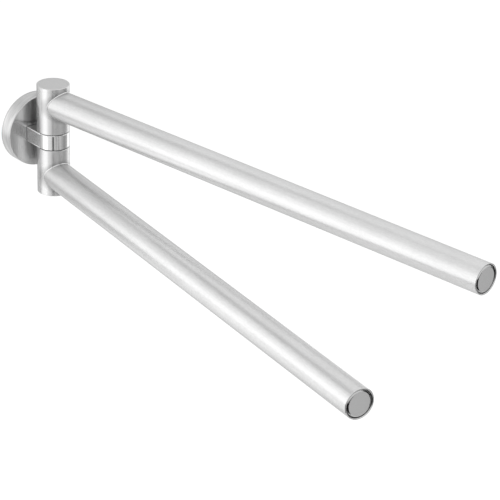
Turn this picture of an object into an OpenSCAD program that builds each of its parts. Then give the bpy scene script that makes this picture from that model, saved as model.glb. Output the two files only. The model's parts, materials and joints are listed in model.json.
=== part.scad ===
// Wall-mounted towel rail with two arms that swing on one post.
// Sizes are in millimetres, with +Z up. The origin is the centre of the wall plate's back face.
// The wall is the plane y = 0, and the arms reach out of it along -Y.
// The lower arm's pieces are the upper arm's, mirrored in the plane z = 0.

/* [Arms] */
// Reach of an arm, from the post's axis to the end of its tube
arm_reach = 406; // [200:1:600]
// Outer diameter of an arm tube
tube_d = 22; // [18:0.5:23]
// Wall of an arm tube
tube_wall = 1; // [0.8:0.1:2]
// Height of an arm's axis above or below the middle of the collar
arm_height = 28; // [20:0.5:28.5]
// Angle of the upper arm from straight out, to the right seen from the front
upper_arm_angle = 7.4; // [0:0.1:80]
// Angle of the lower arm from straight out, to the right seen from the front
lower_arm_angle = -7.4; // [-80:0.1:0]
// Edge break on the end of an arm tube
tube_edge = 0.25; // [0.1:0.05:0.35]

/* [Post] */
// Diameter of the hubs and of the collar
post_d = 24.5; // [23.5:0.5:30]
// Height of the whole post
post_h = 85.7; // [84:0.1:100]
// Height of the collar and of the bracket
collar_h = 11.7; // [9:0.1:14]
// Edge break on the hubs
hub_edge = 0.3; // [0.1:0.05:0.6]
// Edge break on the collar and the bracket
collar_edge = 0.35; // [0.1:0.05:0.6]
// Distance from the wall to the post's axis
axis_out = 28; // [26:0.5:40]

/* [Rosette] */
// Diameter of the rosette
rosette_d = 55; // [45:0.5:70]
// Depth of the rosette, from the wall to its front face
rosette_depth = 11; // [10.2:0.1:12]
// Thickness of the rosette's front
rosette_front = 3; // [2.5:0.1:3.4]
// Thickness of the rosette's rim
rosette_rim = 2.1; // [1.5:0.1:2.2]
// Edge break round the rosette's front
rosette_edge = 0.35; // [0.1:0.05:0.6]

/* [Wall plate] */
// Thickness of the wall plate
plate_t = 7; // [6.5:0.1:7.4]
// From the plate's edge to the middle of a wall screw's hole
wall_screw_edge = 5.2; // [5:0.1:8]
// Diameter of a hole for a wall screw
wall_screw_hole_d = 4.8; // [4:0.1:5.2]
// Diameter of the countersink for a wall screw's head
wall_screw_head_d = 9; // [8:0.1:9.5]
// Land between the recess in the plate's front and the countersinks
plate_recess_land = 1; // [0.5:0.1:5]
// Thickness of the plate behind that recess
plate_web = 2.5; // [1.5:0.1:4]
// Depth of the groove round the plate, which the rosette's screw bites in
plate_groove = 2.3; // [1.5:0.1:2.3]
// Height of the straight land behind the groove, on the wall
plate_land = 2.7; // [2.4:0.1:3]

/* [Pivot] */
// Diameter of the pivot pin
pin_d = 10; // [9:0.1:11]
// Diameter of the pin's threaded ends
thread_d = 8; // [6:0.5:8.5]
// Depth of the flat that the lock screw bears on
pin_flat = 0.3; // [0.2:0.1:0.8]
// Wall of the plastic bushes
bush_wall = 1.5; // [1:0.1:2]
// Thickness of a friction washer
friction_washer_t = 0.5; // [0.3:0.05:1]
// How far a friction washer lies behind the face of the post
friction_washer_inset = 0.35; // [0.1:0.05:1]
// Thickness of a thrust washer
thrust_washer_t = 1; // [0.8:0.1:1.2]
// Outer diameter of a thrust washer and of a disc spring
thrust_washer_d = 16; // [15:0.5:18]
// Height of a disc spring under load
spring_h = 1.1; // [0.9:0.1:1.2]
// Thickness of a disc spring's steel
spring_t = 0.5; // [0.3:0.1:0.7]
// Width across the flats of a lock nut
nut_width = 13; // [12:0.5:13.5]
// Height of a lock nut
nut_t = 4; // [3:0.1:4.2]
// Room round a lock nut's corners for a socket spanner
nut_room = 2; // [1.2:0.1:2.2]
// Length of pin that shows above its lock nut
pin_over = 0.2; // [0.1:0.1:0.4]
// Room between the pin and a hub cap
cap_room = 0.45; // [0.2:0.05:0.6]
// Thickness of a hub cap
hub_cap_t = 1.6; // [1.2:0.1:1.8]
// Width of the ledge that a hub cap seats on
hub_cap_ledge = 1; // [0.6:0.1:1.2]

/* [Arm joint and end] */
// Diameter of the spigot's tenon in the hub
tenon_d = 9; // [7:0.5:10]
// Thickness of the hub left behind the tenon
tenon_web = 1.5; // [1:0.1:2.5]
// Length of the spigot inside the tube, measured from the post's axis
spigot_reach = 34; // [26:1:60]
// Length of an end cap
end_cap_l = 12; // [9:0.5:25]
// Radius of an end cap's rounded edge
end_cap_round = 2; // [0.8:0.05:2.4]
// Thickness of an end cap's face
end_cap_face_t = 3; // [2:0.1:5]
// Wall of an end cap's sleeve, behind its face
end_cap_wall = 3; // [2.2:0.1:4]
// Thickness of the rubber ring on an end cap
ring_d = 1.5; // [1:0.1:1.8]

/* [Screws] */
// Diameter of the screws between rosette and bracket
bracket_screw_d = 4; // [3:0.5:4]
// Diameter of their countersunk heads
bracket_screw_head_d = 7.5; // [6:0.1:7.5]
// Distance between them
bracket_screw_spacing = 15; // [14.5:0.1:16]
// How deep they reach into the bracket
bracket_screw_bite = 8; // [5:0.5:8.5]
// Diameter of the screw that locks the pin
lock_screw_d = 5; // [4:0.5:5.5]
// Length of the screw that locks the pin
lock_screw_l = 8; // [5:0.5:10]
// Diameter of the rosette's grub screw
grub_screw_d = 4; // [3:0.1:4]
// Depth of the hexagon sockets
socket_depth = 1.8; // [1:0.1:2]
// How far the grub screw lies below the face of the rim
grub_sink = 0.2; // [0.1:0.05:0.5]

/* [Fits] */
// Radial running clearance between a bush and the pin
run_gap = 0.03; // [0.01:0.01:0.08]
// Radial clearance of pieces that are pressed or screwed together
seat_gap = 0.02; // [0:0.01:0.04]
// Radial clearance of loose pieces, such as washers on the pin
loose_gap = 0.2; // [0.1:0.05:0.3]
// Clearance between a coped tube and its hub
cope_gap = 0.05; // [0.02:0.01:0.1]
// Clearance between the rosette and the wall plate
plate_gap = 0.2; // [0.1:0.05:0.4]
// Clearance at the end of a bush or a tenon
end_gap = 0.1; // [0.05:0.05:0.2]

/* [Hidden] */
// Facets of the round faces
$fn = 96;
// Length by which a cut runs past what it cuts
overrun = 1;
// Width of a hexagon socket, as a share of its screw's diameter
socket_share = 0.5;

post_r = post_d / 2;
tube_r = tube_d / 2;
tube_bore_r = tube_r - tube_wall;
pin_r = pin_d / 2;
thread_r = thread_d / 2;

// Heights on the post, from the middle of the collar up
collar_top = collar_h / 2;
hub_bottom = collar_top + friction_washer_t;
hub_top = post_h / 2;
cap_seat = hub_top - hub_cap_t;
pin_top = cap_seat - cap_room;
nut_top = pin_top - pin_over;
nut_seat = nut_top - nut_t;
spring_seat = nut_seat - spring_h;
hub_floor = spring_seat - thrust_washer_t;
pin_shoulder = hub_floor - end_gap;

// Radii inside a hub
bush_r = pin_r + run_gap + bush_wall;
hub_bore_r = bush_r + seat_gap;
nut_corner_r = nut_width / 2 / cos(30);
nut_recess_r = nut_corner_r + nut_room;
hub_cap_recess_r = nut_recess_r + hub_cap_ledge;
tenon_r = tenon_d / 2;
tenon_floor = hub_bore_r + tenon_web;

// End cap, its rubber ring and the groove for it, measured back from the tube's end
end_cap_r = tube_bore_r - seat_gap;
ring_r = ring_d / 2;
ring_centre_r = end_cap_r - ring_r;
groove_floor_r = ring_centre_r - ring_r - seat_gap;
groove_w = ring_d + 2 * loose_gap;
ring_back = (end_cap_l + end_cap_round) / 2;

// Rosette and wall plate, with depths measured out from the wall
rosette_r = rosette_d / 2;
rosette_bore_r = rosette_r - rosette_rim;
rosette_inside = rosette_depth - rosette_front;
plate_r = rosette_bore_r - plate_gap;
plate_groove_r = plate_r - plate_groove;
wall_screw_hole_r = wall_screw_hole_d / 2;
wall_screw_head_r = wall_screw_head_d / 2;
wall_screw_spacing = 2 * (plate_r - wall_screw_edge);
plate_recess_r = wall_screw_spacing / 2 - wall_screw_head_r - plate_recess_land;

// The grub screw's tip is a cone of 45 degrees and so is the side of the plate's groove.
grub_r = grub_screw_d / 2;
grub_tip_share = 0.25;
grub_tip_r = grub_r * grub_tip_share;
grub_tip = plate_groove_r + grub_tip_r + seat_gap;
grub_head = rosette_r - grub_sink;

lock_screw_r = lock_screw_d / 2;
lock_screw_tip = axis_out - pin_r + pin_flat;
lock_screw_chamfer_share = 0.2;
lock_screw_chamfer = lock_screw_r * lock_screw_chamfer_share;
bracket_screw_r = bracket_screw_d / 2;
bracket_head_r = bracket_screw_head_d / 2;

// Puts children on the post's axis, turned with an arm, and mirrored for the lower side.
module on_post(side, angle = 0) {
    translate([0, -axis_out, 0])
        rotate([0, 0, angle])
            mirror([0, 0, side < 0 ? 1 : 0])
                children();
}

// Lays children along an arm: their +Z runs from the post's axis to the arm's end.
module along_arm() {
    translate([0, 0, arm_height])
        rotate([90, 0, 0])
            children();
}

// Lays children along the way out of the wall: their +Z runs from the wall to the front.
module out_of_wall() {
    rotate([90, 0, 0])
        children();
}

// Flat ring that starts at height z.
module ring(outer_r, inner_r, z, h) {
    translate([0, 0, z])
        difference() {
            cylinder(r = outer_r, h = h);
            translate([0, 0, -overrun])
                cylinder(r = inner_r, h = h + 2 * overrun);
        }
}

// Hexagon socket of a screw, which opens at height z and reaches down by its depth.
module hex_socket(screw_r, z) {
    translate([0, 0, z - socket_depth])
        cylinder(r = screw_r * socket_share / cos(30), h = socket_depth + overrun, $fn = 6);
}

// Countersunk screw, with its head's flat top at z = 0 and its shank along +Z.
module countersunk(shank_r, head_r, l) {
    rotate_extrude()
        polygon([
            [0, 0],
            [head_r, 0],
            [shank_r, head_r - shank_r],
            [shank_r, l],
            [0, l]
        ]);
}

// Cut that such a screw fits in, run out past both ends.
module countersink_cut(shank_r, head_r, l) {
    rotate_extrude()
        polygon([
            [0, -overrun],
            [head_r, -overrun],
            [head_r, 0],
            [shank_r, head_r - shank_r],
            [shank_r, l + overrun],
            [0, l + overrun]
        ]);
}

// Plate with a groove round its edge, two countersunk holes and a recess in its front.
module wall_plate() {
    color("darkgray")
        out_of_wall()
            difference() {
                rotate_extrude()
                    polygon([
                        [0, 0],
                        [plate_groove_r, 0],
                        [plate_groove_r, plate_land],
                        [plate_r, plate_land + plate_groove],
                        [plate_r, plate_t],
                        [0, plate_t]
                    ]);
                translate([0, 0, plate_web])
                    cylinder(r = plate_recess_r, h = plate_t);
                for (end = [-1, 1])
                    translate([end * wall_screw_spacing / 2, 0, plate_t])
                        mirror([0, 0, 1])
                            countersink_cut(wall_screw_hole_r, wall_screw_head_r, plate_t);
            }
}

// Shallow cup over the wall plate, drilled for the bracket, its lock screw and the grub screw.
module rosette() {
    color("silver")
        difference() {
            out_of_wall()
                rotate_extrude()
                    polygon([
                        [rosette_bore_r, 0],
                        [rosette_r, 0],
                        [rosette_r, rosette_depth - rosette_edge],
                        [rosette_r - rosette_edge, rosette_depth],
                        [0, rosette_depth],
                        [0, rosette_inside],
                        [rosette_bore_r, rosette_inside]
                    ]);
            out_of_wall() {
                translate([0, 0, rosette_inside - overrun])
                    cylinder(r = lock_screw_r, h = rosette_front + 2 * overrun);
                for (end = [-1, 1])
                    translate([end * bracket_screw_spacing / 2, 0, rosette_inside])
                        countersink_cut(
                            bracket_screw_r + seat_gap,
                            bracket_head_r + seat_gap,
                            rosette_front
                        );
            }
            translate([0, -plate_land, -rosette_r - overrun])
                cylinder(r = grub_r + seat_gap, h = rosette_rim + 2 * overrun);
        }
}

// Grub screw with a cone tip, driven up through the rim into the plate's groove.
module rosette_grub_screw() {
    color("dimgray")
        translate([0, -plate_land, 0])
            mirror([0, 0, 1])
                difference() {
                    rotate_extrude()
                        polygon([
                            [0, grub_tip],
                            [grub_tip_r, grub_tip],
                            [grub_r, grub_tip + grub_r - grub_tip_r],
                            [grub_r, grub_head],
                            [0, grub_head]
                        ]);
                    hex_socket(grub_r, grub_head);
                }
}

// Outline of the bracket's bar and of half its collar, with broken edges.
module bar_outline() {
    polygon([
        [-post_r, -collar_top + collar_edge],
        [-post_r + collar_edge, -collar_top],
        [post_r - collar_edge, -collar_top],
        [post_r, -collar_top + collar_edge],
        [post_r, collar_top - collar_edge],
        [post_r - collar_edge, collar_top],
        [-post_r + collar_edge, collar_top],
        [-post_r, collar_top - collar_edge]
    ]);
}

// Front half of the collar, cut off at the post's axis.
module collar_front() {
    intersection() {
        rotate_extrude()
            polygon([
                [0, -collar_top],
                [post_r - collar_edge, -collar_top],
                [post_r, -collar_top + collar_edge],
                [post_r, collar_top - collar_edge],
                [post_r - collar_edge, collar_top],
                [0, collar_top]
            ]);
        translate([-post_r - overrun, -post_r - overrun, -collar_top - overrun])
            cube([post_d + 2 * overrun, post_r + overrun, collar_h + 2 * overrun]);
    }
}

// Bar and collar in one, bored for the pin and tapped at the back.
module bracket() {
    color("silver")
        difference() {
            union() {
                translate([0, -axis_out, 0])
                    collar_front();
                translate([0, -rosette_depth, 0])
                    out_of_wall()
                        linear_extrude(axis_out - rosette_depth)
                            bar_outline();
            }
            translate([0, -axis_out, -collar_top - overrun])
                cylinder(r = pin_r + seat_gap, h = collar_h + 2 * overrun);
            out_of_wall() {
                cylinder(r = lock_screw_r + seat_gap, h = axis_out);
                for (end = [-1, 1])
                    translate([end * bracket_screw_spacing / 2, 0, 0])
                        cylinder(
                            r = bracket_screw_r + seat_gap,
                            h = rosette_depth + bracket_screw_bite + end_gap
                        );
            }
        }
}

// Two countersunk screws, driven from inside the rosette.
module bracket_screws() {
    color("dimgray")
        out_of_wall()
            for (end = [-1, 1])
                translate([end * bracket_screw_spacing / 2, 0, rosette_inside])
                    difference() {
                        countersunk(
                            bracket_screw_r,
                            bracket_head_r,
                            rosette_front + bracket_screw_bite
                        );
                        mirror([0, 0, 1])
                            hex_socket(bracket_screw_r, 0);
                    }
}

// Spindle with threaded ends and a flat for its lock screw.
module pivot_pin() {
    color("gainsboro")
        translate([0, -axis_out, 0])
            difference() {
                union() {
                    translate([0, 0, -pin_shoulder])
                        cylinder(r = pin_r, h = 2 * pin_shoulder);
                    translate([0, 0, -pin_top])
                        cylinder(r = thread_r, h = 2 * pin_top);
                }
                translate([-pin_r, pin_r - pin_flat, -collar_top])
                    cube([pin_d, pin_flat + overrun, collar_h]);
            }
}

// Grub screw in the bracket's middle, which bears on the pin's flat.
module pin_lock_screw() {
    color("dimgray")
        out_of_wall()
            translate([0, 0, lock_screw_tip])
                mirror([0, 0, 1])
                    difference() {
                        union() {
                            cylinder(
                                r1 = lock_screw_r - lock_screw_chamfer,
                                r2 = lock_screw_r,
                                h = lock_screw_chamfer
                            );
                            translate([0, 0, lock_screw_chamfer])
                                cylinder(r = lock_screw_r, h = lock_screw_l - lock_screw_chamfer);
                        }
                        hex_socket(lock_screw_r, lock_screw_l);
                    }
}

// Thin plastic washer between the collar and a hub.
module friction_washer(side) {
    color("dimgray")
        on_post(side)
            ring(post_r - friction_washer_inset, pin_r + loose_gap, collar_top, friction_washer_t);
}

// Plastic sleeve pressed in a hub, which turns on the pin.
module bush(side) {
    color("ivory")
        on_post(side)
            ring(
                bush_r,
                pin_r + run_gap,
                hub_bottom + end_gap,
                hub_floor - hub_bottom - 2 * end_gap
            );
}

// Steel washer on the floor of a hub's recess.
module thrust_washer(side) {
    color("gainsboro")
        on_post(side)
            ring(thrust_washer_d / 2, thread_r + loose_gap, hub_floor, thrust_washer_t);
}

// Conical spring washer, with its wide edge down.
module disc_spring(side) {
    color("dimgray")
        on_post(side)
            translate([0, 0, spring_seat])
                rotate_extrude()
                    polygon([
                        [thread_r + loose_gap, spring_h - spring_t],
                        [thrust_washer_d / 2, 0],
                        [thrust_washer_d / 2, spring_t],
                        [thread_r + loose_gap, spring_h]
                    ]);
}

// Thin lock nut.
module lock_nut(side) {
    color("gainsboro")
        on_post(side)
            translate([0, 0, nut_seat])
                difference() {
                    cylinder(r = nut_corner_r, h = nut_t, $fn = 6);
                    translate([0, 0, -overrun])
                        cylinder(r = thread_r + seat_gap, h = nut_t + 2 * overrun);
                }
}

// Turned hub: bore for the bush, recess for the nut, seat for the cap, socket for the tenon.
module hub(side, angle) {
    color("silver")
        on_post(side, angle)
            difference() {
                rotate_extrude()
                    polygon([
                        [hub_bore_r, hub_bottom],
                        [post_r - hub_edge, hub_bottom],
                        [post_r, hub_bottom + hub_edge],
                        [post_r, hub_top - hub_edge],
                        [post_r - hub_edge, hub_top],
                        [hub_cap_recess_r, hub_top],
                        [hub_cap_recess_r, cap_seat],
                        [nut_recess_r, cap_seat],
                        [nut_recess_r, hub_floor],
                        [hub_bore_r, hub_floor]
                    ]);
                along_arm()
                    translate([0, 0, tenon_floor])
                        cylinder(r = tenon_r + seat_gap, h = post_r);
            }
}

// Flat disc pressed in flush with the hub's end.
module hub_cap(side, angle) {
    color("silver")
        on_post(side, angle)
            translate([0, 0, cap_seat])
                cylinder(r = hub_cap_recess_r - seat_gap, h = hub_cap_t);
}

// Solid plug in the tube's coped end, with a tenon in the hub.
module arm_spigot(side, angle) {
    color("gainsboro")
        on_post(side, angle)
            union() {
                difference() {
                    along_arm()
                        cylinder(r = tube_bore_r - seat_gap, h = spigot_reach);
                    cylinder(r = post_r + cope_gap, h = hub_top + overrun);
                }
                along_arm()
                    translate([0, 0, tenon_floor + end_gap])
                        cylinder(r = tenon_r, h = post_r);
            }
}

// Rail: a tube coped round the hub, with broken edges at its free end.
module arm_tube(side, angle) {
    color("silver")
        on_post(side, angle)
            difference() {
                along_arm()
                    rotate_extrude()
                        polygon([
                            [tube_bore_r, 0],
                            [tube_r, 0],
                            [tube_r, arm_reach - tube_edge],
                            [tube_r - tube_edge, arm_reach],
                            [tube_bore_r + tube_edge, arm_reach],
                            [tube_bore_r, arm_reach - tube_edge]
                        ]);
                cylinder(r = post_r + cope_gap, h = hub_top + overrun);
            }
}

// Plug with a rounded face, flush with the tube's end, hollow behind and grooved for its ring.
module end_cap(side, angle) {
    color("gray")
        on_post(side, angle)
            along_arm()
                translate([0, 0, arm_reach])
                    mirror([0, 0, 1])
                        rotate_extrude()
                            polygon(concat(
                                [[0, end_cap_face_t], [0, 0]],
                                [for (turn = [0:10:90]) [
                                    end_cap_r - end_cap_round * (1 - sin(turn)),
                                    end_cap_round * (1 - cos(turn))
                                ]],
                                [
                                    [end_cap_r, ring_back - groove_w / 2],
                                    [groove_floor_r, ring_back - groove_w / 2],
                                    [groove_floor_r, ring_back + groove_w / 2],
                                    [end_cap_r, ring_back + groove_w / 2],
                                    [end_cap_r, end_cap_l],
                                    [end_cap_r - end_cap_wall, end_cap_l],
                                    [end_cap_r - end_cap_wall, end_cap_face_t]
                                ]
                            ));
}

// Rubber ring in the end cap's groove.
module end_cap_ring(side, angle) {
    color("black")
        on_post(side, angle)
            along_arm()
                translate([0, 0, arm_reach - ring_back])
                    rotate_extrude()
                        translate([ring_centre_r, 0])
                            circle(r = ring_r);
}

wall_plate();
rosette();
rosette_grub_screw();
bracket();
bracket_screws();
pivot_pin();
pin_lock_screw();
friction_washer(1);  // upper_friction_washer
bush(1);  // upper_bush
thrust_washer(1);  // upper_thrust_washer
disc_spring(1);  // upper_disc_spring
lock_nut(1);  // upper_lock_nut
hub(1, upper_arm_angle);  // upper_hub
hub_cap(1, upper_arm_angle);  // upper_hub_cap
arm_spigot(1, upper_arm_angle);  // upper_arm_spigot
arm_tube(1, upper_arm_angle);  // upper_arm_tube
end_cap(1, upper_arm_angle);  // upper_end_cap
end_cap_ring(1, upper_arm_angle);  // upper_end_cap_ring
friction_washer(-1);  // lower_friction_washer
bush(-1);  // lower_bush
thrust_washer(-1);  // lower_thrust_washer
disc_spring(-1);  // lower_disc_spring
lock_nut(-1);  // lower_lock_nut
hub(-1, lower_arm_angle);  // lower_hub
hub_cap(-1, lower_arm_angle);  // lower_hub_cap
arm_spigot(-1, lower_arm_angle);  // lower_arm_spigot
arm_tube(-1, lower_arm_angle);  // lower_arm_tube
end_cap(-1, lower_arm_angle);  // lower_end_cap
end_cap_ring(-1, lower_arm_angle);  // lower_end_cap_ring
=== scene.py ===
import json
import math

import bpy
from mathutils import Matrix, Vector


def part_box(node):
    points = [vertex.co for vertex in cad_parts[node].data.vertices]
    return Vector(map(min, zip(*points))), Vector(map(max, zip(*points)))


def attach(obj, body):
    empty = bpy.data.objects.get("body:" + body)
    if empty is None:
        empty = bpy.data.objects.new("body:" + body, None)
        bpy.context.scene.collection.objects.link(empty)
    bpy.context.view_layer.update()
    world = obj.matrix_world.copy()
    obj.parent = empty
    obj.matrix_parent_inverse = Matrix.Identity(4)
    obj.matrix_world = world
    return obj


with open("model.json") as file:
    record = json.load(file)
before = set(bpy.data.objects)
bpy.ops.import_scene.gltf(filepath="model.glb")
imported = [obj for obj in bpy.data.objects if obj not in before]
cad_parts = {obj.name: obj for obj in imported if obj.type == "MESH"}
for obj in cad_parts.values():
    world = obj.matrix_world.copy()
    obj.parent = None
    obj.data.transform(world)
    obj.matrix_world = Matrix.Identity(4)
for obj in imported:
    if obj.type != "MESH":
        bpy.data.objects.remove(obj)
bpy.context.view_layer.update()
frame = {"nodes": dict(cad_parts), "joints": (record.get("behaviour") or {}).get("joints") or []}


# Camera, where the photograph was taken: above the rail, to its left and nearly two
# metres off. The collar's middle lies at a pixel of the 500 by 500 picture, and the
# picture is rolled a little. The focal length is in pixels too.
picture_size = 500
collar_pixel = Vector((53.467, 137.28))
focal_pixels = 2425.55
camera_azimuth = math.radians(-40.201)
camera_elevation = math.radians(25.668)
camera_roll = math.radians(1.77)
camera_distance = 1.8049
sensor_width = 36
farthest_seen = 50
upper_swing, lower_swing = frame["joints"]
collar_middle = (Vector(upper_swing["pos_m"]) + Vector(lower_swing["pos_m"])) / 2

towards_camera = Vector((
    math.sin(camera_azimuth) * math.cos(camera_elevation),
    -math.cos(camera_azimuth) * math.cos(camera_elevation),
    math.sin(camera_elevation),
))
level = Vector((math.cos(camera_azimuth), math.sin(camera_azimuth), 0))
upright = towards_camera.cross(level)
picture_right = level * math.cos(camera_roll) + upright * math.sin(camera_roll)
picture_up = upright * math.cos(camera_roll) - level * math.sin(camera_roll)
picture_middle = Vector((picture_size, picture_size)) / 2
off_middle = (collar_pixel - picture_middle) / focal_pixels
camera_place = collar_middle + camera_distance * (
    towards_camera - picture_right * off_middle.x + picture_up * off_middle.y
)

lens = bpy.data.cameras.new("camera")
lens.sensor_fit = "HORIZONTAL"
lens.sensor_width = sensor_width
lens.lens = sensor_width * focal_pixels / picture_size
lens.clip_end = farthest_seen
camera = bpy.data.objects.new("camera", lens)
bpy.context.scene.collection.objects.link(camera)
camera_turn = Matrix((picture_right, picture_up, towards_camera)).transposed()
camera.matrix_world = Matrix.Translation(camera_place) @ camera_turn.to_4x4()
bpy.context.scene.camera = camera
bpy.context.scene.view_settings.view_transform = "Standard"


# Floor of the studio, a plain pale sheet far below the rail. The camera and the steel
# see it paler than the lamps alone make it, and the rail's shadow still falls on it.
class Field:
    """A value, colour or vector of a node tree. Sums and products of values add Math nodes."""

    def __init__(self, tree, socket=None):
        self.tree = tree
        self.socket = socket

    def node(self, kind, settings, sockets, output=0):
        """Adds a node of that kind and returns one of its outputs."""
        made = self.tree.nodes.new(kind)
        for name, value in settings.items():
            setattr(made, name, value)
        for name, value in sockets.items():
            if isinstance(value, Field):
                self.tree.links.new(value.socket, made.inputs[name])
            else:
                made.inputs[name].default_value = value
        return Field(self.tree, made.outputs[output] if made.outputs else None)

    def math(self, operation, *values):
        return self.node("ShaderNodeMath", {"operation": operation}, dict(enumerate(values)))

    def __add__(self, other):
        return self.math("ADD", self, other)

    def __sub__(self, other):
        return self.math("SUBTRACT", self, other)

    def __rsub__(self, other):
        return self.math("SUBTRACT", other, self)

    def __mul__(self, other):
        return self.math("MULTIPLY", self, other)

    __radd__ = __add__
    __rmul__ = __mul__


def grey(tone):
    """A neutral colour, for a colour socket."""
    return (tone, tone, tone, 1)


def empty_tree(owner):
    """Clears a material's or world's nodes, and returns the field that adds new ones."""
    owner.use_nodes = True
    owner.node_tree.nodes.clear()
    return Field(owner.node_tree)


def ray_kinds(field):
    """1 on rays from the camera, and 1 on rays that steel or glass sends on."""
    camera_ray = field.node("ShaderNodeLightPath", {}, {}, "Is Camera Ray")
    glossy_ray = field.node("ShaderNodeLightPath", {}, {}, "Is Glossy Ray")
    clear_ray = field.node("ShaderNodeLightPath", {}, {}, "Is Transmission Ray")
    return camera_ray, field.math("MAXIMUM", glossy_ray, clear_ray)


def sheet(name, stand, width, height, paper):
    """A flat sheet of the studio, which isn't part of the rail."""
    mesh = bpy.data.meshes.new(name)
    corners = ((-1, -1), (1, -1), (1, 1), (-1, 1))
    mesh.from_pydata(
        [(x * width / 2, y * height / 2, 0) for x, y in corners], [], [(0, 1, 2, 3)]
    )
    mesh.materials.append(paper)
    made = bpy.data.objects.new(name, mesh)
    bpy.context.scene.collection.objects.link(made)
    made.matrix_world = stand
    return made


floor_drop = 0.95
floor_width = 18
floor_tone = 0.8
camera_lift = 0.62
steel_lift = 0.36

floor_paper = bpy.data.materials.new("floor_paper")
field = empty_tree(floor_paper)
camera_ray, steel_ray = ray_kinds(field)
paper = field.node("ShaderNodeBsdfDiffuse", {}, {"Color": grey(floor_tone)})
lift = camera_ray * camera_lift + steel_ray * steel_lift
glow = field.node("ShaderNodeEmission", {}, {"Color": grey(1), "Strength": lift})
lit = field.node("ShaderNodeAddShader", {}, {0: paper, 1: glow})
field.node("ShaderNodeOutputMaterial", {}, {"Surface": lit})
floor_stand = Matrix.Translation((0, 0, -floor_drop))
sheet("floor", floor_stand, floor_width, floor_width, floor_paper)


# Tent of white cloth round the studio. The camera and the steel see it white, and it
# lights everything else at a plain level.
tent_light = 0.55

tent = bpy.data.worlds.new("tent")
bpy.context.scene.world = tent
field = empty_tree(tent)
camera_ray, steel_ray = ray_kinds(field)
seen = field.math("MAXIMUM", camera_ray, steel_ray)
sky = field.node(
    "ShaderNodeBackground", {}, {"Color": grey(1), "Strength": seen + (1 - seen) * tent_light}
)
field.node("ShaderNodeOutputWorld", {}, {"Surface": sky})


# Softboxes, lamps behind cloth, which draw the long highlights down the post and along
# the tubes. Each stands upright in front of its black housing, and the housing is made as
# the boards further on are, as a sheet that only the steel sees.
housing_gap = 0.01
housing_tones = (0, 0)
fold_width = 0.9
fold_start = 0.275


def along(vector, axis):
    """One of a vector's three numbers."""
    return vector.node("ShaderNodeSeparateXYZ", {}, {"Vector": vector}, axis)


def stood_up(place, sides, edges, distance):
    """Where an upright board stands, as seen from a place, and its width and height.

    The sides are compass angles, with 0 straight out of the wall and 90 towards +X. The
    low and the high edge are angles above the place. All of them are in degrees.
    """
    first, last = (math.radians(side) for side in sides)
    low, high = (math.tan(math.radians(edge)) * distance for edge in edges)
    middle = (first + last) / 2
    outwards = Vector((math.sin(middle), -math.cos(middle), 0))
    centre = place + outwards * distance + Vector((0, 0, (low + high) / 2))
    stand = Matrix.Translation(centre) @ outwards.to_track_quat("Z", "Y").to_matrix().to_4x4()
    return stand, 2 * distance * math.tan((last - first) / 2), high - low


def board(name, place, sides, edges, distance, tones, folds=0):
    """A board that only steel sees, with the tones of its two sides and the depth of its folds."""
    stand, width, height = stood_up(place, sides, edges, distance)
    paper = bpy.data.materials.new(name)
    field = empty_tree(paper)
    across = along(field.node("ShaderNodeTexCoord", {}, {}, "Object"), "X")
    first, last = tones
    tone = (across * (1 / width) + 0.5) * (last - first) + first
    wave = field.math("SINE", (across + fold_start) * (2 * math.pi / fold_width))
    glow = field.node(
        "ShaderNodeEmission", {}, {"Color": grey(1), "Strength": wave * folds + tone}
    )
    field.node("ShaderNodeOutputMaterial", {}, {"Surface": glow})
    made = sheet(name, stand, width, height, paper)
    made.visible_camera = False
    made.visible_diffuse = False
    made.visible_shadow = False


def softbox(name, place, sides, edges, distance, brightness):
    """A lamp that fills those angles, with its housing behind it."""
    stand, width, height = stood_up(place, sides, edges, distance)
    lamp = bpy.data.lights.new(name, "AREA")
    lamp.shape = "RECTANGLE"
    lamp.size = width
    lamp.size_y = height
    lamp.energy = brightness * math.pi * width * height
    made = bpy.data.objects.new(name, lamp)
    bpy.context.scene.collection.objects.link(made)
    made.matrix_world = stand
    made.visible_camera = False
    board(name + "_housing", place, sides, edges, distance + housing_gap, housing_tones)


softbox("left_softbox", collar_middle, (-114, -78), (-34, 14), 0.8, 1.5)
softbox("high_left_softbox", collar_middle, (-144, -78), (14, 38), 0.8, 1.27)
softbox("back_left_softbox", collar_middle, (-148, -114), (-18, 13), 0.8, 1.54)
softbox("right_softbox", collar_middle, (78, 118), (-45, -8), 0.9, 1.4)


# Boards for the steel to mirror: pale and grey ones in front of the post and behind it, a
# narrow dark one under the camera, and black felt beside the free ends of the arms.
black_felt = (0.01, 0.01)
fold_depth = 0.08


def middle_of(name):
    """The middle of a node's box."""
    low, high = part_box(name)
    return (low + high) / 2


board("back_left_board", collar_middle, (-152, -114), (-45, -18), 0.9, (0.3, 0.85))
board("low_left_board", collar_middle, (-150, -107), (-50, -30), 0.79, (1.0, 1.45))
board("near_left_board", collar_middle, (-124, -92), (-50, -27), 0.24, (1.4, 1.4))
board("low_back_board", collar_middle, (-190, -143), (-56, -40), 0.6, (1.1, 1.1))
board("left_front_board", collar_middle, (-78, -38), (-45, 0), 0.9, (1.06, 0.66))
board("dark_board", collar_middle, (-45, -31), (-34, -18), 0.85, (0.24, 0.1))
board("front_board", collar_middle, (-38, 77), (-34, -2), 0.9, (0.58, 0.3), fold_depth)
board("back_board", collar_middle, (140, 195), (-35, 28), 0.9, (0.68, 0.68))
board("back_high_board", collar_middle, (-182, -150), (40, 52), 0.9, (0.5, 0.5))
board("back_top_board", collar_middle, (-182, -150), (57, 63), 0.9, (0.5, 0.5))
upper_end = middle_of("upper_end_cap")
lower_end = middle_of("lower_end_cap")
board("far_left_board", lower_end, (-166, -140), (-30, -13), 0.6, (1.1, 1.1))
board("left_end_board", lower_end, (-85, 12), (-58, -4), 0.07, black_felt)
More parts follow.
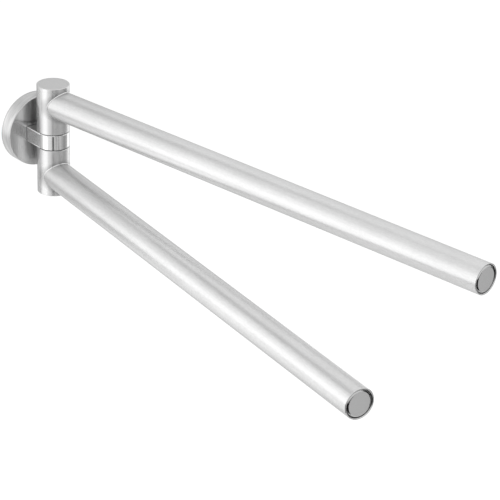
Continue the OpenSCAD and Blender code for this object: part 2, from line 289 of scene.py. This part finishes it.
board("lower_face_board", lower_end, (13, 37), (-37, -10), 0.42, (0.62, 0.62))
board("lower_near_board", lower_end, (37, 51), (-33, -10), 0.15, black_felt)
board("upper_face_board", upper_end, (43, 66), (-37, -10), 0.42, (0.62, 0.62))
board("upper_near_board", upper_end, (-36, 41), (-58, -4), 0.07, black_felt)
board("right_end_board", upper_end, (66, 125), (-31, -8), 0.15, black_felt)


# Rosette, the round cover on the wall, spun from stainless steel. Its face is brushed
# upright and mirrors the bracket. Its rim is brushed round, so its lines run side by side.
hair_detail = 3
hair_roughness = 0.65
steel_edge_tone = 0.75


def new_material(name):
    """A material, the field that adds its nodes, and the place on the piece."""
    made = bpy.data.materials.new(name)
    field = empty_tree(made)
    return made, field, field.node("ShaderNodeTexCoord", {}, {}, "Object")


def brushed(field, place, hair, turn=0):
    """Noise drawn out into hairs, whose length along each axis is in metres."""
    drawn = field.node(
        "ShaderNodeMapping",
        {"vector_type": "TEXTURE"},
        {"Vector": place, "Rotation": (0, 0, turn), "Scale": hair},
    )
    return field.node(
        "ShaderNodeTexNoise",
        {},
        {"Vector": drawn, "Scale": 1, "Detail": hair_detail, "Roughness": hair_roughness},
    )


def scattered(amount, middle, spread):
    """A value that varies round its middle, as an amount goes from 0 to 1."""
    return (amount - 0.5) * spread + middle


def tinted(field, amount, tones):
    """A colour between a dark grey and a pale one."""
    dark, pale = tones
    # The colours of a Mix node are its inputs 6 and 7 and its output 2.
    return field.node(
        "ShaderNodeMix", {"data_type": "RGBA"}, {0: amount, 6: grey(dark), 7: grey(pale)}, 2
    )


def relief(field, height, depth):
    """A bumped normal for a height from 0 to 1 and a depth in metres."""
    return field.node(
        "ShaderNodeBump", {}, {"Strength": 1.0, "Distance": depth, "Height": height}
    )


def metal(field, colour, rough, normal):
    """Bare steel, with the output."""
    surface = field.node(
        "ShaderNodeBsdfPrincipled",
        {},
        {
            "Base Color": colour,
            "Metallic": 1.0,
            "Roughness": rough,
            "Specular Tint": grey(steel_edge_tone),
            "Normal": normal,
        },
    )
    field.node("ShaderNodeOutputMaterial", {}, {"Surface": surface})


def dress(name, material):
    """Gives a CAD node's slots one material."""
    for slot in frame["nodes"][name].material_slots:
        slot.material = material


rosette_tones = (0.44, 0.8)
rosette_patch = (0.012, 0.012, 0.012)
rosette_patch_share = 0.2
rosette_scatter = 0.08
rosette_relief = 0.000005
face_hair = (0.0005, 0.02, 0.03)
face_rough = 0.24
face_shade = 0.1
rim_hair = (0.02, 0.0016, 0.02)
rim_rough = 0.4
rim_contrast = 2.2
rim_start = 0.0004
rosette_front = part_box("rosette")[0].y

rosette_steel, field, place = new_material("rosette_steel")
on_face = field.math("LESS_THAN", along(place, "Y"), rosette_front + rim_start)
face_hairs = brushed(field, place, face_hair)
rim_hairs = scattered(brushed(field, place, rim_hair), 0.5, rim_contrast)
hairs = rim_hairs + on_face * (face_hairs - rim_hairs)
patches = brushed(field, place, rosette_patch)
shade = hairs * (1 - rosette_patch_share) + patches * rosette_patch_share - on_face * face_shade
colour = tinted(field, shade, rosette_tones)
rough = scattered(hairs, rim_rough, rosette_scatter) + on_face * (face_rough - rim_rough)
metal(field, colour, rough, relief(field, hairs, rosette_relief))
dress("rosette", rosette_steel)


# Bracket, the flat block that carries the collar, one steel casting. The collar is ground
# finer than the hubs, so it mirrors the studio sharply. The bar behind it is brushed and
# paler, darker towards the collar, with a painted highlight along its edges and a thin
# painted shade where it meets the rosette.
bracket_tones = (0.3, 1.0)
bracket_shade = 0.5
bracket_hair = (0.03, 0.03, 0.0004)
bracket_hair_share = 0.2
bracket_patch = (0.01, 0.01, 0.01)
bracket_patch_share = 0.2
bracket_scatter = 0.04
bracket_relief = 0.0000004
collar_rough = 0.1
bar_rough = 0.24
bar_shade = 0.25
edge_width = 0.0008
edge_band_share = 0.9
edge_painted_highlight = 0.1
edge_rough = 0.3
edge_fade = 0.009
fade_shade = 0.1
root_shade_width = 0.0009
root_shade = 0.55
bracket_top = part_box("bracket")[1].z

bracket_steel, field, place = new_material("bracket_steel")
hairs = brushed(field, place, bracket_hair)
patches = brushed(field, place, bracket_patch)
# A painted highlight in a thin band along the bar's top and bottom edges.
on_edge = field.node(
    "ShaderNodeMath",
    {"operation": "COMPARE"},
    {
        0: field.math("ABSOLUTE", along(place, "Z")),
        1: bracket_top - edge_width / 2,
        2: edge_width / 2 * edge_band_share,
    },
)
depth = along(place, "Y")
on_bar = field.math("GREATER_THAN", depth, collar_middle.y)
# A painted shade in a thin band where the bar meets the rosette.
at_root = field.math("GREATER_THAN", depth, rosette_front - root_shade_width)
off_root = field.math("MINIMUM", (rosette_front - depth) * (1 / edge_fade), 1)
on_edge = on_edge * field.math("MAXIMUM", off_root, 0)
# The bar's tone: paler, darker towards the collar, with its painted edge highlight and its painted
# shade at the root.
bar_tone_and_painted_light = on_edge * edge_painted_highlight - off_root * fade_shade - at_root * root_shade + bar_shade
plain = hairs * bracket_hair_share + patches * bracket_patch_share + bracket_shade
colour = tinted(field, plain + on_bar * bar_tone_and_painted_light, bracket_tones)
rougher = on_edge * edge_rough + (bar_rough - collar_rough)
rough = scattered(hairs, collar_rough, bracket_scatter) + on_bar * rougher
metal(field, colour, rough, relief(field, hairs, bracket_relief))
dress("bracket", bracket_steel)


# Hubs, the two turning halves of the post, turned from steel bar and brushed round, with
# a flat cap pressed in that closes each of them. Beside its arm each hub is painted
# darker in a ring, a painted shade where the tube meets it.
hub_tones = (0.35, 0.78)
hub_shade = 0.58
hub_hair = (0.03, 0.03, 0.0008)
hub_hair_share = 0.15
hub_speckle = (0.0016, 0.0016, 0.0011)
hub_speckle_share = 0.1
hub_patch = (0.004, 0.004, 0.012)
hub_patch_share = 0.17
hub_rough = 0.28
hub_scatter = 0.06
hub_relief = 0.000001
ring_shade_width = 0.0032
ring_shade_depth = 0.65
cap_tones = (0.63, 0.69)
cap_hair = (0.0006, 0.02, 0.02)
cap_rough = 0.34
cap_scatter = 0.06
cap_relief = 0.000001


def half_of(name):
    """Half of a node's box, along each axis."""
    low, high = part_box(name)
    return (high - low) / 2


def from_cap(field, place, arm):
    """The place seen from the middle of an arm's end cap, with Y back along the arm."""
    return field.node(
        "ShaderNodeMapping",
        {"vector_type": "TEXTURE"},
        {"Vector": place, "Location": middle_of(arm + "_end_cap"), "Rotation": (0, 0, arms[arm])},
    )


def span(field, vector, axes, shift=(0, 0, 0)):
    """How long a vector is along those axes alone, once it is shifted."""
    kept = field.node(
        "ShaderNodeVectorMath", {"operation": "MULTIPLY_ADD"}, {0: vector, 1: axes, 2: shift}
    )
    return field.node("ShaderNodeVectorMath", {"operation": "LENGTH"}, {0: kept}, "Value")


def clamped(field, amount):
    """An amount, kept between 0 and 1."""
    return field.math("MINIMUM", field.math("MAXIMUM", amount, 0), 1)


arms = {}
for arm in ("upper", "lower"):
    reach = middle_of(arm + "_end_cap") - collar_middle
    arms[arm] = math.atan2(reach.x, -reach.y)
    tube_half = half_of(arm + "_arm_tube").z
    hub_steel, field, place = new_material(arm + "_hub_steel")
    hairs = brushed(field, place, hub_hair)
    speckle = brushed(field, place, hub_speckle)
    patches = brushed(field, place, hub_patch)
    turned = from_cap(field, place, arm)
    out = span(field, turned, (1, 0, 1))
    faces_arm = field.math("LESS_THAN", along(turned, "Y"), math.hypot(reach.x, reach.y))
    # A painted shade: the hub is darker in a ring beside its arm.
    ring_shade = clamped(field, 1 - (out - tube_half) * (1 / ring_shade_width)) * faces_arm
    shade = hairs * hub_hair_share + speckle * hub_speckle_share + patches * hub_patch_share
    colour = tinted(field, shade + hub_shade - ring_shade * ring_shade_depth, hub_tones)
    rough = scattered(patches, hub_rough, hub_scatter)
    metal(field, colour, rough, relief(field, hairs, hub_relief))
    dress(arm + "_hub", hub_steel)

cap_steel, field, place = new_material("cap_steel")
hairs = brushed(field, place, cap_hair)
colour = tinted(field, hairs, cap_tones)
rough = scattered(hairs, cap_rough, cap_scatter)
metal(field, colour, rough, relief(field, hairs, cap_relief))
for arm in arms:
    dress(arm + "_hub_cap", cap_steel)


# Arms, two lengths of round stainless tube, coped to fit round the hubs and brushed
# along their length. Each has its own finish, turned to the way its arm points. Near the
# hub each tube is painted darker, a painted shade, and is rougher there.
tube_tones = (0.53, 0.87)
tube_hair = (0.0007, 0.012, 0.0007)
tube_hair_share = 0.35
tube_speckle = (0.0012, 0.0026, 0.0012)
tube_speckle_share = 0.4
tube_patch = (0.006, 0.03, 0.006)
tube_patch_share = 0.25
tube_rough = 0.31
tube_scatter = 0.1
tube_relief = 0.000001
near_hub_start = 0.012
near_hub_length = 0.14
near_hub_shade = 0.22
near_hub_rough = 0.05

for arm, way in arms.items():
    tube_steel, field, place = new_material(arm + "_tube_steel")
    hairs = brushed(field, place, tube_hair, way)
    speckle = brushed(field, place, tube_speckle, way)
    patches = brushed(field, place, tube_patch, way)
    shade = hairs * tube_hair_share + speckle * tube_speckle_share + patches * tube_patch_share
    out = span(field, place, (1, 1, 0), (0, -collar_middle.y, 0))
    # A painted shade: the tube is darker near the hub.
    near_hub = field.math("MAXIMUM", 1 - (out - near_hub_start) * (1 / near_hub_length), 0)
    colour = tinted(field, shade - near_hub * near_hub_shade, tube_tones)
    rough = scattered(hairs, tube_rough, tube_scatter) + near_hub * near_hub_rough
    metal(field, colour, rough, relief(field, hairs, tube_relief))
    dress(arm + "_arm_tube", tube_steel)


# Welds, a fine bright bead where each tube meets its hub. The path is the saddle in
# which a round tube cuts a round post, and a round section is drawn along it.
weld_radius = 0.00045
weld_points = 128
weld_sides = 10
weld_tones = (0.4, 0.95)
weld_ripple = (0.0007, 0.0007, 0.0007)
weld_ripple_share = 0.3
weld_fade = 0.012
weld_rough = 0.25
weld_scatter = 0.1
weld_relief = 0.00002


def inlet(tree, name, kind):
    """Adds a named input to a geometry tree and returns its identifier."""
    socket = tree.interface.new_socket(name, in_out="INPUT", socket_type="NodeSocket" + kind)
    return socket.identifier


saddle = bpy.data.node_groups.new("saddle_bead", "GeometryNodeTree")
inlets = {
    name: inlet(saddle, name, kind)
    for name, kind in (
        ("Tube Radius", "Float"),
        ("Hub Radius", "Float"),
        ("Bead Radius", "Float"),
        ("Height", "Float"),
        ("Axis", "Float"),
        ("Turn", "Float"),
        ("Finish", "Material"),
    )
}
saddle.interface.new_socket("Geometry", in_out="OUTPUT", socket_type="NodeSocketGeometry")
field = Field(saddle)
given = saddle.nodes.new("NodeGroupInput").outputs
tube_radius, hub_radius, bead_radius, height, axis, turn, finish = (
    Field(saddle, given[name]) for name in inlets
)
ring = field.node(
    "GeometryNodeCurvePrimitiveCircle", {}, {"Resolution": weld_points, "Radius": 1.0}
)
spot = field.node("GeometryNodeInputPosition", {}, {})
across = along(spot, "X") * tube_radius
above = along(spot, "Y") * tube_radius
outwards = field.math("SQRT", hub_radius * hub_radius - across * across)
on_saddle = field.node(
    "ShaderNodeCombineXYZ", {}, {"X": across, "Y": 0 - outwards, "Z": above}
)
path = field.node("GeometryNodeSetPosition", {}, {"Geometry": ring, "Position": on_saddle})
section = field.node(
    "GeometryNodeCurvePrimitiveCircle", {}, {"Resolution": weld_sides, "Radius": bead_radius}
)
bead = field.node("GeometryNodeCurveToMesh", {}, {"Curve": path, "Profile Curve": section})
smooth = field.node("GeometryNodeSetShadeSmooth", {}, {"Geometry": bead})
moved = field.node(
    "GeometryNodeTransform",
    {},
    {
        "Geometry": smooth,
        "Translation": field.node("ShaderNodeCombineXYZ", {}, {"Y": axis, "Z": height}),
        "Rotation": field.node("ShaderNodeCombineXYZ", {}, {"Z": turn}),
    },
)
real = field.node("GeometryNodeRealizeInstances", {}, {"Geometry": moved})
done = field.node("GeometryNodeSetMaterial", {}, {"Geometry": real, "Material": finish})
field.node("NodeGroupOutput", {}, {"Geometry": done})

for arm, way in arms.items():
    tube_height = middle_of(arm + "_arm_tube").z
    weld_steel, field, place = new_material(arm + "_weld_steel")
    ripple = brushed(field, place, weld_ripple)
    # Painted light and shade: the bead is paler on its top and darker on its underside.
    painted_top_light = clamped(field, (along(place, "Z") - tube_height) * (1 / weld_fade) + 0.5)
    shade = ripple * weld_ripple_share + painted_top_light * (1 - weld_ripple_share)
    colour = tinted(field, shade, weld_tones)
    rough = scattered(ripple, weld_rough, weld_scatter)
    metal(field, colour, rough, relief(field, ripple, weld_relief))
    sizes = {
        "Tube Radius": half_of(arm + "_arm_tube").z,
        "Hub Radius": half_of(arm + "_hub").x,
        "Bead Radius": weld_radius,
        "Height": tube_height,
        "Axis": collar_middle.y,
        "Turn": way,
        "Finish": weld_steel,
    }
    host = bpy.data.objects.new("weld_host", bpy.data.meshes.new("weld_host"))
    bpy.context.scene.collection.objects.link(host)
    bead = host.modifiers.new("bead", "NODES")
    bead.node_group = saddle
    for name, value in sizes.items():
        bead[inlets[name]] = value
    ready = host.evaluated_get(bpy.context.evaluated_depsgraph_get())
    mesh = bpy.data.meshes.new_from_object(ready)
    bpy.data.objects.remove(host)
    weld = bpy.data.objects.new(arm + "_arm_weld", mesh)
    bpy.context.scene.collection.objects.link(weld)
    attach(weld, arm + "_arm")


# End caps, turned steel plugs, polished, pressed into the free ends. Their rounded edge
# is painted dark, a painted shade in the narrow groove beside the tube.
end_tones = (0.1, 0.68)
end_hair = (0.0004, 0.0004, 0.0004)
end_hair_share = 0.08
end_rough = 0.14
end_scatter = 0.04
end_relief = 0.0000003
dark_start = 0.0085
dark_width = 0.0006
dark_shade = 0.25

for arm in arms:
    end_steel, field, place = new_material(arm + "_end_steel")
    hairs = brushed(field, place, end_hair)
    out = span(field, from_cap(field, place, arm), (1, 0, 1))
    # A painted shade on the rounded edge, in the groove beside the tube.
    dark = clamped(field, (out - dark_start) * (1 / dark_width))
    shade = hairs * end_hair_share + (1 - end_hair_share) - dark * dark_shade
    colour = tinted(field, shade, end_tones)
    rough = scattered(hairs, end_rough, end_scatter)
    metal(field, colour, rough, relief(field, hairs, end_relief))
    dress(arm + "_end_cap", end_steel)


# Works inside, hidden once the rail hangs: the wall plate and screws, the pin with its
# nuts and springs, the spigots in the tubes, and the nylon and rubber between them.
works_contrast = 0.15
works_scatter = 0.2
works_relief = 0.00001


def dull(name, tone, metallic, rough, grain):
    """A dull finish of that tone, with the size of its grain along each axis."""
    made, field, place = new_material(name)
    hairs = brushed(field, place, grain)
    tones = (tone * (1 - works_contrast), tone * (1 + works_contrast))
    surface = field.node(
        "ShaderNodeBsdfPrincipled",
        {},
        {
            "Base Color": tinted(field, hairs, tones),
            "Metallic": metallic,
            "Roughness": scattered(hairs, rough, works_scatter),
            "Normal": relief(field, hairs, works_relief),
        },
    )
    field.node("ShaderNodeOutputMaterial", {}, {"Surface": surface})
    return made


plate_zinc = dull("plate_zinc", 0.5, 1.0, 0.45, (0.002, 0.002, 0.002))
turned_steel = dull("turned_steel", 0.5, 1.0, 0.3, (0.02, 0.02, 0.0003))
screw_steel = dull("screw_steel", 0.42, 1.0, 0.35, (0.0004, 0.0004, 0.0004))
spring_steel = dull("spring_steel", 0.3, 1.0, 0.3, (0.0008, 0.0008, 0.0008))
dark_nylon = dull("dark_nylon", 0.03, 0.0, 0.5, (0.0006, 0.0006, 0.0006))
pale_nylon = dull("pale_nylon", 0.6, 0.0, 0.5, (0.0006, 0.0006, 0.0006))
black_rubber = dull("black_rubber", 0.02, 0.0, 0.75, (0.0003, 0.0003, 0.0003))
inside = {
    plate_zinc: ("wall_plate",),
    turned_steel: (
        "pivot_pin",
        "upper_arm_spigot",
        "lower_arm_spigot",
        "upper_lock_nut",
        "lower_lock_nut",
        "upper_thrust_washer",
        "lower_thrust_washer",
    ),
    screw_steel: ("rosette_grub_screw", "bracket_screws", "pin_lock_screw"),
    spring_steel: ("upper_disc_spring", "lower_disc_spring"),
    dark_nylon: ("upper_friction_washer", "lower_friction_washer"),
    pale_nylon: ("upper_bush", "lower_bush"),
    black_rubber: ("upper_end_cap_ring", "lower_end_cap_ring"),
}
for material, names in inside.items():
    for name in names:
        dress(name, material)
